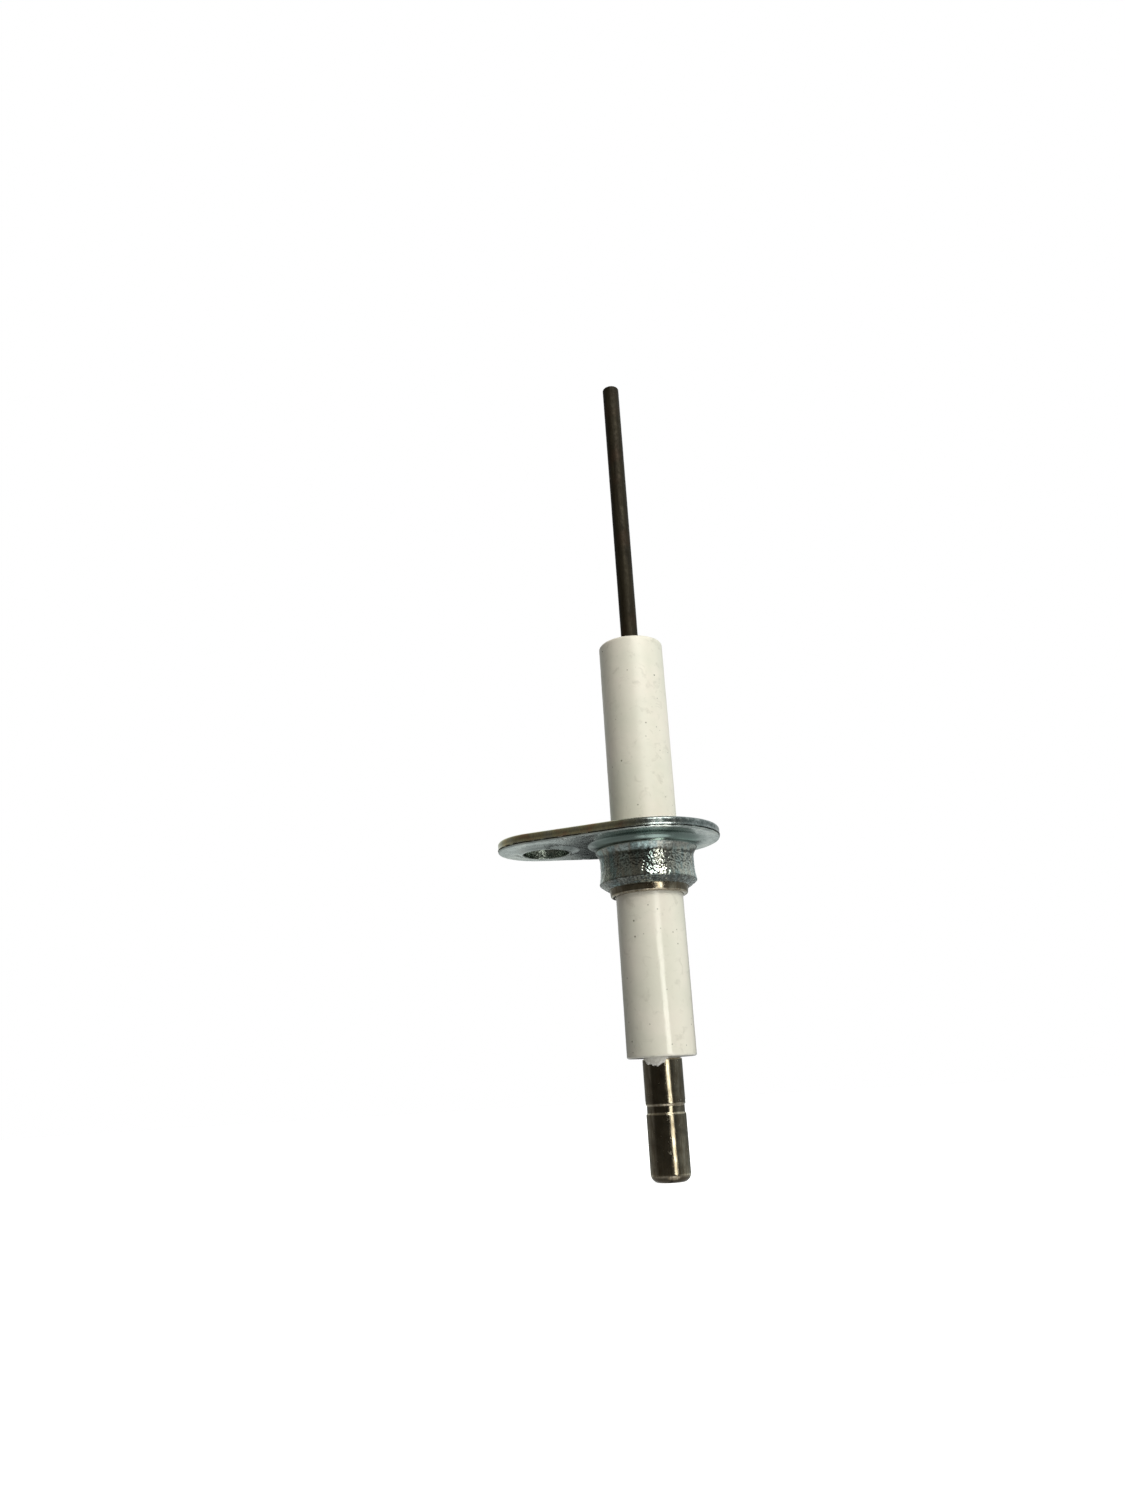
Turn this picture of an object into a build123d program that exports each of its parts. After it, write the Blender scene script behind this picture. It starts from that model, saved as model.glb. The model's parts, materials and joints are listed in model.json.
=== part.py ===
"""Ignition electrode with an offset screw flange.

+Z runs along the electrode towards the spark tip.  The origin is the centre of the flange's
seat face, the flat face that is screwed against the burner.  The screw hole lies on -X.
All dimensions are in millimetres.
"""

from build123d import *
import os

os.makedirs("parts", exist_ok=True)

# Spark rod: one straight wire from the spark tip down into the terminal.
ROD_RADIUS = 0.95
ROD_TIP_Z = 55.0
ROD_TIP_ROUND = 0.2

# Ceramic insulator: a tube that stands out on both sides of the flange.
CERAMIC_RADIUS = 3.53
CERAMIC_TOP_Z = 21.5
CERAMIC_BOTTOM_Z = -23.2
CERAMIC_TOP_ROUND = 0.35
CERAMIC_BOTTOM_ROUND = 0.2
ROD_BORE_RADIUS = 1.1
ROD_SOCKET_RADIUS = 1.6
ROD_SOCKET_DEPTH = 3.0
TERMINAL_SOCKET_RADIUS = 1.8
TERMINAL_SOCKET_DEPTH = 8.0

# The ceramic's waist, which locks it in the sleeve.
WAIST_DEPTH = 0.25
WAIST_TOP_Z = -0.1
WAIST_BOTTOM_Z = -6.3

# Flange plate: a round seat with a smaller lobe that carries the screw hole.
PLATE_THICKNESS = 1.15
PLATE_RADIUS = 7.95
PLATE_RIM_ROUND = 0.3
LOBE_RADIUS = 5.2
HOLE_PITCH = 10.75
HOLE_RADIUS = 2.5
COLLAR_RADIUS = 2.85
COLLAR_HEIGHT = 0.28
COLLAR_ROUND = 0.12

# Hub: the collar drawn down from the plate and rolled in round the sleeve.
HUB_BORE_RADIUS = 4.15
HUB_SHOULDER_RADIUS = 5.4
HUB_FILLET = 0.8
HUB_WAIST_RADIUS = 4.95
HUB_WAIST_TOP_Z = -3.1
HUB_WAIST_BOTTOM_Z = -3.9
HUB_LIP_RADIUS = 5.13
HUB_LIP_Z = -5.42
HUB_LIP_ROUND = 0.12
HUB_END_RADIUS = 4.3
HUB_END_Z = -6.02
HUB_MOUTH_ROUND = 0.6

# Sleeve: a thin bush between the hub and the ceramic, with its lower lip turned in.
SLEEVE_WALL = 0.43
SLEEVE_TOP_Z = -0.25
SLEEVE_BOTTOM_Z = -6.93
SLEEVE_LIP_HEIGHT = 0.4
SLEEVE_LIP_ROUND = 0.3

# Terminal: a 4 mm push-on pin with a detent groove and a shank in the ceramic.
TERMINAL_RADIUS = 2.0
TERMINAL_END_Z = -35.0
TERMINAL_NOSE_ROUND = 0.8
DETENT_Z = -28.15
DETENT_WIDTH = 0.9
DETENT_FLOOR_WIDTH = 0.5
DETENT_DEPTH = 0.16
SHANK_RADIUS = 1.6
SHANK_KEY_DEPTH = 0.2
SHANK_KEY_WIDTH = 0.8
SHANK_END_GAP = 0.3
SHANK_END_CHAMFER = 0.2
CONTACT_BORE_DEPTH = 6.0

# Cement seals.
JOINT_THICKNESS = 0.12
MENISCUS_RISE = 0.3
MENISCUS_WIDTH = 0.35
DRIP_THICKNESS = 0.12
DRIP_EDGE = 0.03
DRIP_LENGTH = 0.75
DRIP_SPAN = 58
DRIP_BEARING = 225

sleeve_inner_radius = HUB_BORE_RADIUS - SLEEVE_WALL
socket_floor_z = CERAMIC_BOTTOM_Z + TERMINAL_SOCKET_DEPTH
shank_top_z = socket_floor_z - SHANK_END_GAP
shoulder_z = CERAMIC_BOTTOM_Z - JOINT_THICKNESS
shank_key_z = (shank_top_z + CERAMIC_BOTTOM_Z) / 2
rod_root_z = shank_top_z - CONTACT_BORE_DEPTH


# Spark rod.
with BuildPart() as electrode_rod:
    with BuildSketch(Plane.XY.offset(rod_root_z)):
        Circle(ROD_RADIUS)
    extrude(amount=ROD_TIP_Z - rod_root_z)
    fillet(electrode_rod.edges().sort_by(Axis.Z)[-1], ROD_TIP_ROUND)
electrode_rod.part.label = "electrode_rod"
export_step(electrode_rod.part, "parts/electrode_rod.step")


# Ceramic insulator: an outside with a locking waist, a bore for the rod, a socket at each end.
with BuildPart() as ceramic_insulator:
    with BuildSketch(Plane.XY.offset(CERAMIC_BOTTOM_Z)):
        Circle(CERAMIC_RADIUS)
    extrude(amount=CERAMIC_TOP_Z - CERAMIC_BOTTOM_Z)
    ends = ceramic_insulator.edges().filter_by(GeomType.CIRCLE).sort_by(Axis.Z)
    fillet(ends[0], CERAMIC_BOTTOM_ROUND)
    fillet(ends[-1], CERAMIC_TOP_ROUND)
    with BuildSketch(Plane.XZ):
        with BuildLine():
            Polyline(
                (CERAMIC_RADIUS, WAIST_TOP_Z),
                (CERAMIC_RADIUS - WAIST_DEPTH, WAIST_TOP_Z - WAIST_DEPTH),
                (CERAMIC_RADIUS - WAIST_DEPTH, WAIST_BOTTOM_Z + WAIST_DEPTH),
                (CERAMIC_RADIUS, WAIST_BOTTOM_Z),
                close=True,
            )
        make_face()
    revolve(axis=Axis.Z, mode=Mode.SUBTRACT)
    with Locations(Plane.XY.offset(CERAMIC_TOP_Z)):
        CounterBoreHole(ROD_BORE_RADIUS, ROD_SOCKET_RADIUS, ROD_SOCKET_DEPTH)
    with BuildSketch(Plane.XY.offset(CERAMIC_BOTTOM_Z)):
        Circle(TERMINAL_SOCKET_RADIUS)
    extrude(amount=TERMINAL_SOCKET_DEPTH, mode=Mode.SUBTRACT)
ceramic_insulator.part.label = "ceramic_insulator"
export_step(ceramic_insulator.part, "parts/ceramic_insulator.step")


# Mounting flange: plate and drawn hub are one pressing.
with BuildPart() as mounting_flange:
    with BuildSketch():
        Circle(PLATE_RADIUS)
        with Locations((-HOLE_PITCH, 0)):
            Circle(LOBE_RADIUS)
        make_hull()
    extrude(amount=-PLATE_THICKNESS)
    fillet(mounting_flange.faces().sort_by(Axis.Z)[-1].edges(), PLATE_RIM_ROUND)

    # The hub's outside: a fillet down to a shoulder, a waist and a flared, bevelled lip.
    with BuildSketch(Plane.XZ) as hub_section:
        with BuildLine():
            top_edge = Line(
                (HUB_BORE_RADIUS, -PLATE_THICKNESS),
                (HUB_SHOULDER_RADIUS + HUB_FILLET, -PLATE_THICKNESS),
            )
            neck = RadiusArc(
                top_edge @ 1,
                (HUB_SHOULDER_RADIUS, -PLATE_THICKNESS - HUB_FILLET),
                -HUB_FILLET,
            )
            waist = Line(
                (HUB_WAIST_RADIUS, HUB_WAIST_BOTTOM_Z),
                (HUB_WAIST_RADIUS, HUB_WAIST_TOP_Z),
            )
            TangentArc(waist @ 1, neck @ 1, tangent=waist % 1)
            flare = TangentArc(waist @ 0, (HUB_LIP_RADIUS, HUB_LIP_Z), tangent=-(waist % 1))
            Polyline(
                flare @ 1,
                (HUB_END_RADIUS, HUB_END_Z),
                (HUB_BORE_RADIUS, HUB_END_Z),
                top_edge @ 0,
            )
        make_face()
        lip = hub_section.vertices().filter_by(lambda corner: abs(corner.Y - HUB_LIP_Z) < 0.01)
        fillet(lip, HUB_LIP_ROUND)
    revolve(axis=Axis.Z)

    # The bore, with the rounded mouth that drawing leaves in the seat face.
    with BuildSketch(Plane.XZ):
        with BuildLine():
            mouth = RadiusArc(
                (HUB_BORE_RADIUS + HUB_MOUTH_ROUND, 0),
                (HUB_BORE_RADIUS, -HUB_MOUTH_ROUND),
                -HUB_MOUTH_ROUND,
            )
            Polyline(mouth @ 1, (HUB_BORE_RADIUS, HUB_END_Z), (0, HUB_END_Z), (0, 0), mouth @ 0)
        make_face()
    revolve(axis=Axis.Z, mode=Mode.SUBTRACT)

    # The screw hole, pierced from the seat side, which draws a low collar out below.
    with BuildSketch(Plane.XY.offset(-PLATE_THICKNESS)):
        with Locations((-HOLE_PITCH, 0)):
            Circle(COLLAR_RADIUS)
    extrude(amount=-COLLAR_HEIGHT)
    with Locations((-HOLE_PITCH, 0, 0)):
        Hole(HOLE_RADIUS)
    rings = mounting_flange.edges().filter_by(GeomType.CIRCLE)
    collar_z = -PLATE_THICKNESS - COLLAR_HEIGHT
    fillet(rings.filter_by(lambda ring: abs(ring.center().Z - collar_z) < 0.01), COLLAR_ROUND)
mounting_flange.part.label = "mounting_flange"
export_step(mounting_flange.part, "parts/mounting_flange.step")


# Clamping sleeve.
with BuildPart() as clamping_sleeve:
    with BuildSketch(Plane.XY.offset(SLEEVE_BOTTOM_Z)):
        Circle(HUB_BORE_RADIUS)
        Circle(CERAMIC_RADIUS, mode=Mode.SUBTRACT)
    extrude(amount=SLEEVE_TOP_Z - SLEEVE_BOTTOM_Z)
    with BuildSketch(Plane.XY.offset(SLEEVE_TOP_Z)):
        Circle(sleeve_inner_radius)
    extrude(amount=SLEEVE_BOTTOM_Z + SLEEVE_LIP_HEIGHT - SLEEVE_TOP_Z, mode=Mode.SUBTRACT)
    lip_edges = clamping_sleeve.edges().filter_by(GeomType.CIRCLE).group_by(Axis.Z)[0]
    fillet(lip_edges.sort_by(SortBy.RADIUS)[-1], SLEEVE_LIP_ROUND)
clamping_sleeve.part.label = "clamping_sleeve"
export_step(clamping_sleeve.part, "parts/clamping_sleeve.step")


# Cement bedding that fills the ring between the sleeve and the ceramic's waist.
with BuildPart() as sleeve_bedding:
    with BuildSketch(Plane.XY.offset(SLEEVE_BOTTOM_Z + SLEEVE_LIP_HEIGHT)):
        Circle(sleeve_inner_radius)
        Circle(TERMINAL_SOCKET_RADIUS, mode=Mode.SUBTRACT)
    extrude(amount=SLEEVE_TOP_Z - SLEEVE_BOTTOM_Z - SLEEVE_LIP_HEIGHT)
    add(ceramic_insulator.part, mode=Mode.SUBTRACT)
sleeve_bedding.part.label = "sleeve_bedding"
export_step(sleeve_bedding.part, "parts/sleeve_bedding.step")


# Terminal pin.
with BuildPart() as terminal_pin:
    with BuildSketch(Plane.XY.offset(TERMINAL_END_Z)):
        Circle(TERMINAL_RADIUS)
    extrude(amount=shoulder_z - TERMINAL_END_Z)
    fillet(terminal_pin.edges().sort_by(Axis.Z)[0], TERMINAL_NOSE_ROUND)
    with BuildSketch(Plane.XY.offset(shoulder_z)):
        Circle(SHANK_RADIUS)
    extrude(amount=shank_top_z - shoulder_z)
    chamfer(terminal_pin.edges().sort_by(Axis.Z)[-1], SHANK_END_CHAMFER)

    # The detent groove that a push-on socket snaps into, with sloped walls.
    with BuildSketch(Plane.XZ):
        with BuildLine():
            Polyline(
                (TERMINAL_RADIUS, DETENT_Z - DETENT_WIDTH / 2),
                (TERMINAL_RADIUS - DETENT_DEPTH, DETENT_Z - DETENT_FLOOR_WIDTH / 2),
                (TERMINAL_RADIUS - DETENT_DEPTH, DETENT_Z + DETENT_FLOOR_WIDTH / 2),
                (TERMINAL_RADIUS, DETENT_Z + DETENT_WIDTH / 2),
                close=True,
            )
        make_face()
    revolve(axis=Axis.Z, mode=Mode.SUBTRACT)

    # The key that the cement grips, halfway along the shank.
    with BuildSketch(Plane.XY.offset(shank_key_z - SHANK_KEY_WIDTH / 2)):
        Circle(SHANK_RADIUS)
        Circle(SHANK_RADIUS - SHANK_KEY_DEPTH, mode=Mode.SUBTRACT)
    extrude(amount=SHANK_KEY_WIDTH, mode=Mode.SUBTRACT)

    # The blind contact bore that takes the rod.
    with Locations(Plane.XY.offset(shank_top_z)):
        Hole(ROD_RADIUS, CONTACT_BORE_DEPTH)
terminal_pin.part.label = "terminal_pin"
export_step(terminal_pin.part, "parts/terminal_pin.step")


# Cement seal round the rod, with a small meniscus above the ceramic's end.
with BuildPart() as rod_seal:
    with BuildSketch(Plane.XZ):
        with BuildLine():
            Polyline(
                (ROD_RADIUS, CERAMIC_TOP_Z + MENISCUS_RISE),
                (ROD_RADIUS, CERAMIC_TOP_Z - ROD_SOCKET_DEPTH),
                (ROD_SOCKET_RADIUS, CERAMIC_TOP_Z - ROD_SOCKET_DEPTH),
                (ROD_SOCKET_RADIUS, CERAMIC_TOP_Z),
                (ROD_RADIUS + MENISCUS_WIDTH, CERAMIC_TOP_Z),
            )
            TangentArc(
                (ROD_RADIUS + MENISCUS_WIDTH, CERAMIC_TOP_Z),
                (ROD_RADIUS, CERAMIC_TOP_Z + MENISCUS_RISE),
                tangent=(-1, 0),
            )
        make_face()
    revolve(axis=Axis.Z)
rod_seal.part.label = "rod_seal"
export_step(rod_seal.part, "parts/rod_seal.step")


# Cement seal round the terminal's shank, with the drip that ran out on to the pin.
with BuildPart() as terminal_seal:
    with BuildSketch(Plane.XY.offset(socket_floor_z)):
        Circle(TERMINAL_SOCKET_RADIUS)
        Circle(ROD_RADIUS, mode=Mode.SUBTRACT)
    extrude(amount=shoulder_z - socket_floor_z)
    with BuildSketch(Plane.XZ.rotated((0, 0, DRIP_BEARING))):
        with BuildLine():
            Polyline(
                (SHANK_RADIUS, CERAMIC_BOTTOM_Z),
                (TERMINAL_RADIUS + DRIP_THICKNESS, CERAMIC_BOTTOM_Z),
                (TERMINAL_RADIUS + DRIP_EDGE, shoulder_z - DRIP_LENGTH),
                (SHANK_RADIUS, shoulder_z - DRIP_LENGTH),
                close=True,
            )
        make_face()
    revolve(axis=Axis.Z, revolution_arc=DRIP_SPAN)
    add(terminal_pin.part, mode=Mode.SUBTRACT)
terminal_seal.part.label = "terminal_seal"
export_step(terminal_seal.part, "parts/terminal_seal.step")
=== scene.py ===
"""The looks of an ignition electrode with an offset screw flange.

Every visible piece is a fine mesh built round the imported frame.  Profiles are lists of
(radius, height) in millimetres, in the frame's own coordinates: +Z towards the spark tip,
origin at the centre of the flange's seat face, screw hole on -X.
"""

import json
import math

import bmesh
import bpy
from mathutils import Matrix, Quaternion, Vector, geometry, noise


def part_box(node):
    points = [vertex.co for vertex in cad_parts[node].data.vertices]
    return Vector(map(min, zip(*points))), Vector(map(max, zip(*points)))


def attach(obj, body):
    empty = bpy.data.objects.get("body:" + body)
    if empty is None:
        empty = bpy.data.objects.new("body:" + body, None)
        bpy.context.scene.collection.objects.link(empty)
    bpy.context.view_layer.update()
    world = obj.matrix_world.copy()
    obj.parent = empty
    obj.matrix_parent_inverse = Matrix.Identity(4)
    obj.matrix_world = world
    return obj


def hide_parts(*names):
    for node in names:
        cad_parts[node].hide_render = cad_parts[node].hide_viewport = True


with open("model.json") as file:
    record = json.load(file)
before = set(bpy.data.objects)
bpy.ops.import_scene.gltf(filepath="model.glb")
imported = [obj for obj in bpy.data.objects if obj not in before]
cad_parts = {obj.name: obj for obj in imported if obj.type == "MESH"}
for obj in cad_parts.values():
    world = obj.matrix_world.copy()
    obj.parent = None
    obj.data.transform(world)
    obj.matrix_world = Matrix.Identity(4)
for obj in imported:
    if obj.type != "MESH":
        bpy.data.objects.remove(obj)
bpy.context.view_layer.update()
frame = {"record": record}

MM = 0.001


# ---------------------------------------------------------------- sizes from the frame

def extent(node):
    """A turned node's outer radius, lowest and highest z, in mm."""
    low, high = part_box(node)
    return (high[0] - low[0]) / 2 / MM, low[2] / MM, high[2] / MM


def mount(name):
    """The record's entry for one mount."""
    return next(m for m in frame["record"]["mounts"] if m["name"] == name)


ROD_R, ROD_ROOT, ROD_TIP = extent("electrode_rod")
CERAMIC_R, CERAMIC_BOTTOM, CERAMIC_TOP = extent("ceramic_insulator")
SLEEVE_R, SLEEVE_BOTTOM, SLEEVE_TOP = extent("clamping_sleeve")
TERMINAL_R, TERMINAL_END, SHANK_TOP = extent("terminal_pin")
HUB_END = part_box("mounting_flange")[0][2] / MM
PLATE_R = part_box("mounting_flange")[1][0] / MM
LOBE_END = -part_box("mounting_flange")[0][0] / MM
HOLE_X = mount("screw_hole")["pos_m"][0] / MM
HOLE_R = mount("screw_hole")["dims"]["r_mm"]
LOBE_R = LOBE_END + HOLE_X

# Sizes of details that the frame's boxes don't show, in mm.
PLATE_T = 1.15
HUB_SHOULDER_R, HUB_FILLET = 5.4, 0.8
HUB_WAIST_R = 4.95
HUB_WAIST_TOP, HUB_WAIST_BOTTOM = -3.1, -3.9
HUB_LIP_R, HUB_LIP_Z = 5.13, -5.42
HUB_END_R = 4.3
HUB_MOUTH = 0.6
COLLAR_R, COLLAR_HEIGHT = 2.85, 0.28
ROD_BORE_R = 1.1
ROD_SOCKET_R, ROD_SOCKET_DEPTH = 1.6, 3.0
SHANK_R = 1.6
SHANK_SOCKET_R, SHANK_SOCKET_DEPTH = 1.8, 8.0
WAIST_DEPTH = 0.25
WAIST_TOP, WAIST_BOTTOM = -0.1, -6.3
SLEEVE_WALL, SLEEVE_LIP = 0.43, 0.4
DETENT_Z, DETENT_DEPTH = -28.15, 0.10
SHOULDER_Z = CERAMIC_BOTTOM - 0.12
ROD_IN_SHANK = 6.0

# The flange's zones, marked on its vertices for its material to read.
FLAT, RIM, TORN, HOLE, WALL = 0.0, 1.0, 2.0, 3.0, 4.0

# Closer than this counts as the same place, in mm.
TINY = 1e-6


# ---------------------------------------------------------------- mesh building

def arc(centre, radius, start, end, step=0.06):
    """Points on an arc of a profile, from one angle in degrees to another."""
    count = max(3, math.ceil(abs(math.radians(end - start)) * radius / step))
    angles = [math.radians(start + (end - start) * i / count) for i in range(count + 1)]
    return [(centre[0] + radius * math.cos(a), centre[1] + radius * math.sin(a)) for a in angles]


def refine(points, step):
    """The profile with points added, so that no span is longer than step."""
    dense = []
    for (r0, z0), (r1, z1) in zip(points, points[1:]):
        count = max(1, math.ceil(math.hypot(r1 - r0, z1 - z0) / step))
        dense += [(r0 + (r1 - r0) * i / count, z0 + (z1 - z0) * i / count) for i in range(count)]
    return dense + [points[-1]]


def smooth(low, high, value):
    """0 at low and 1 at high, with a soft start and end."""
    t = min(1.0, max(0.0, (value - low) / (high - low)))
    return t * t * (3 - 2 * t)


def profile_normals(profile, closed):
    """Unit normals to the right of the direction in which the profile runs."""
    normals = []
    last = len(profile) - 1
    for i, _ in enumerate(profile):
        before = profile[i - 1] if i or closed else profile[0]
        after = profile[(i + 1) % len(profile)] if i < last or closed else profile[last]
        dr, dz = after[0] - before[0], after[1] - before[1]
        size = math.hypot(dr, dz) or 1.0
        normals.append((dz / size, -dr / size))
    return normals


class Build:
    """Vertices in mm, faces, and a mark on each vertex for the material to read."""

    def __init__(self):
        self.points, self.faces, self.marks = [], [], []

    def add(self, point, mark=0.0):
        self.points.append(point)
        self.marks.append(mark)
        return len(self.points) - 1

    def band(self, rows):
        """Quads between rows of vertices that each run right round."""
        for one, two in zip(rows, rows[1:]):
            for i, _ in enumerate(one):
                j = (i + 1) % len(one)
                self.faces.append((one[i], one[j], two[j], two[i]))

    def turn(self, profile, columns, relief=None, mark=None, centre=(0.0, 0.0), closed=False):
        """Rows of a profile turned round a vertical axis, pushed along their normals.

        relief(r, z, angle) says how far each vertex is pushed, and mark(r, z, angle) its mark.
        """
        rows = []
        for (r, z), (nr, nz) in zip(profile, profile_normals(profile, closed)):
            if r < TINY:
                rows.append([self.add((centre[0], centre[1], z), mark(r, z, 0) if mark else 0.0)])
                continue
            row = []
            for i in range(columns):
                a = 2 * math.pi * i / columns
                push = relief(r, z, a) if relief else 0.0
                radius = r + nr * push
                x, y = centre[0] + radius * math.cos(a), centre[1] + radius * math.sin(a)
                row.append(self.add((x, y, z + nz * push), mark(r, z, a) if mark else 0.0))
            rows.append(row)
        return rows

    def skin(self, rows, closed=False):
        """Faces between turned rows, with a fan where a row is a single point on the axis."""
        pairs = list(zip(rows, rows[1:])) + ([(rows[-1], rows[0])] if closed else [])
        for one, two in pairs:
            if len(one) == 1 or len(two) == 1:
                tip, ring = (one[0], two) if len(one) == 1 else (two[0], one)
                for i, _ in enumerate(ring):
                    self.faces.append((tip, ring[i], ring[(i + 1) % len(ring)]))
            else:
                self.band([one, two])

    def piece(self, name, node, material):
        """The finished object, riding on the part and standing for its CAD node."""
        mesh = bpy.data.meshes.new(name)
        mesh.from_pydata([[c * MM for c in p] for p in self.points], [], self.faces)
        mesh.attributes.new("mark", "FLOAT", "POINT").data.foreach_set("value", self.marks)
        mesh.materials.append(material)
        obj = bpy.data.objects.new(name, mesh)
        bpy.context.collection.objects.link(obj)
        bm = bmesh.new()
        bm.from_mesh(mesh)
        bmesh.ops.recalc_face_normals(bm, faces=bm.faces)
        bm.to_mesh(mesh)
        bm.free()
        mesh.polygons.foreach_set("use_smooth", [True] * len(mesh.polygons))
        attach(obj, "root")
        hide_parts(node)


def ripple(x, y, z, size, seed=0.0):
    """Smooth noise from -1 to 1 whose bumps are about size mm across."""
    return noise.noise(Vector((x / size + seed, y / size - seed, z / size + 2 * seed)))


def closed_profile(outline, step):
    """A closed outline with points added, without its first point again at the end."""
    return refine(outline + outline[:1], step)[:-1]


def turned_piece(name, node, material, profile, columns, relief=None, closed=True):
    """A piece that is one profile turned about the part's axis."""
    build = Build()
    build.skin(build.turn(profile, columns, relief, closed=closed), closed)
    build.piece(name, node, material)


# ---------------------------------------------------------------- materials

def rgba(colour):
    """An opaque colour from three numbers, or a grey from one; a socket stays as it is."""
    if isinstance(colour, bpy.types.NodeSocket):
        return colour
    return (*colour, 1.0) if isinstance(colour, tuple) else (colour, colour, colour, 1.0)


def add_node(tree, kind, inputs=None, **settings):
    """A node with its settings made, and its inputs linked or given their values."""
    made = tree.nodes.new(kind)
    for key, value in settings.items():
        setattr(made, key, value)
    for key, value in (inputs or {}).items():
        if isinstance(value, bpy.types.NodeSocket):
            tree.links.new(value, made.inputs[key])
        else:
            made.inputs[key].default_value = value
    return made


def add_ramp(tree, value, stops):
    """A colour ramp over a value of 0 to 1, with its stops as (place, colour)."""
    made = add_node(tree, "ShaderNodeValToRGB", {"Fac": value})
    elements = made.color_ramp.elements
    while len(elements) < len(stops):
        elements.new(0.5)
    for element, (place, colour) in zip(elements, stops):
        element.position = place
        element.color = rgba(colour)
    return made.outputs["Color"]


class Shade:
    """A Principled material with short ways to add nodes to it; it measures in mm."""

    MIX_SHARE, MIX_ONE, MIX_TWO, MIX_RESULT = 0, 6, 7, 2

    def __init__(self, name):
        self.material = bpy.data.materials.new(name)
        self.material.use_nodes = True
        self.tree = self.material.node_tree
        self.shader = self.tree.nodes["Principled BSDF"]
        metres = self.node("ShaderNodeTexCoord").outputs["Object"]
        scaled = self.node("ShaderNodeVectorMath", {0: metres, "Scale": 1 / MM}, operation="SCALE")
        self.place = scaled.outputs[0]
        split = self.node("ShaderNodeSeparateXYZ", {0: self.place}).outputs
        self.x, self.y, self.z = split["X"], split["Y"], split["Z"]
        self.mark = self.node("ShaderNodeAttribute", attribute_name="mark").outputs["Fac"]

    def node(self, kind, inputs=None, **settings):
        return add_node(self.tree, kind, inputs, **settings)

    def set(self, **values):
        """The shader's own inputs, linked or given their values."""
        for key, value in values.items():
            socket = self.shader.inputs[key.replace("_", " ")]
            if isinstance(value, bpy.types.NodeSocket):
                self.tree.links.new(value, socket)
            else:
                socket.default_value = value

    def stretched(self, x, y, z):
        """The place with each axis scaled, to draw a pattern out along the small ones."""
        inputs = {0: self.place, 1: (x, y, z)}
        return self.node("ShaderNodeVectorMath", inputs, operation="MULTIPLY").outputs[0]

    def noise(self, scale, detail=3.0, rough=0.5, place=None, warp=0.0):
        """Noise round 0.5, with about scale waves to a mm."""
        inputs = {"Vector": place or self.place, "Scale": scale, "Detail": detail,
                  "Roughness": rough, "Distortion": warp}
        return self.node("ShaderNodeTexNoise", inputs).outputs["Fac"]

    def ramp(self, value, stops):
        return add_ramp(self.tree, value, stops)

    def span(self, value, low, high, start=0.0, end=1.0):
        """A value from low to high, carried over to start to end and held outside them."""
        inputs = {"Value": value, "From Min": low, "From Max": high, "To Min": start, "To Max": end}
        return self.node("ShaderNodeMapRange", inputs).outputs["Result"]

    def maths(self, operation, one, two=0.0):
        return self.node("ShaderNodeMath", {0: one, 1: two}, operation=operation).outputs[0]

    def mix(self, share, one, two):
        """One colour or number blended towards another, by a share of 0 to 1."""
        inputs = {self.MIX_SHARE: share, self.MIX_ONE: rgba(one), self.MIX_TWO: rgba(two)}
        return self.node("ShaderNodeMix", inputs, data_type="RGBA").outputs[self.MIX_RESULT]

    def bump(self, height, depth_mm, below=None):
        """A normal tilted by a height pattern, laid over another normal if there is one."""
        inputs = {"Height": height, "Distance": depth_mm * MM, "Strength": 1.0}
        if below:
            inputs["Normal"] = below
        return self.node("ShaderNodeBump", inputs).outputs["Normal"]


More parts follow.
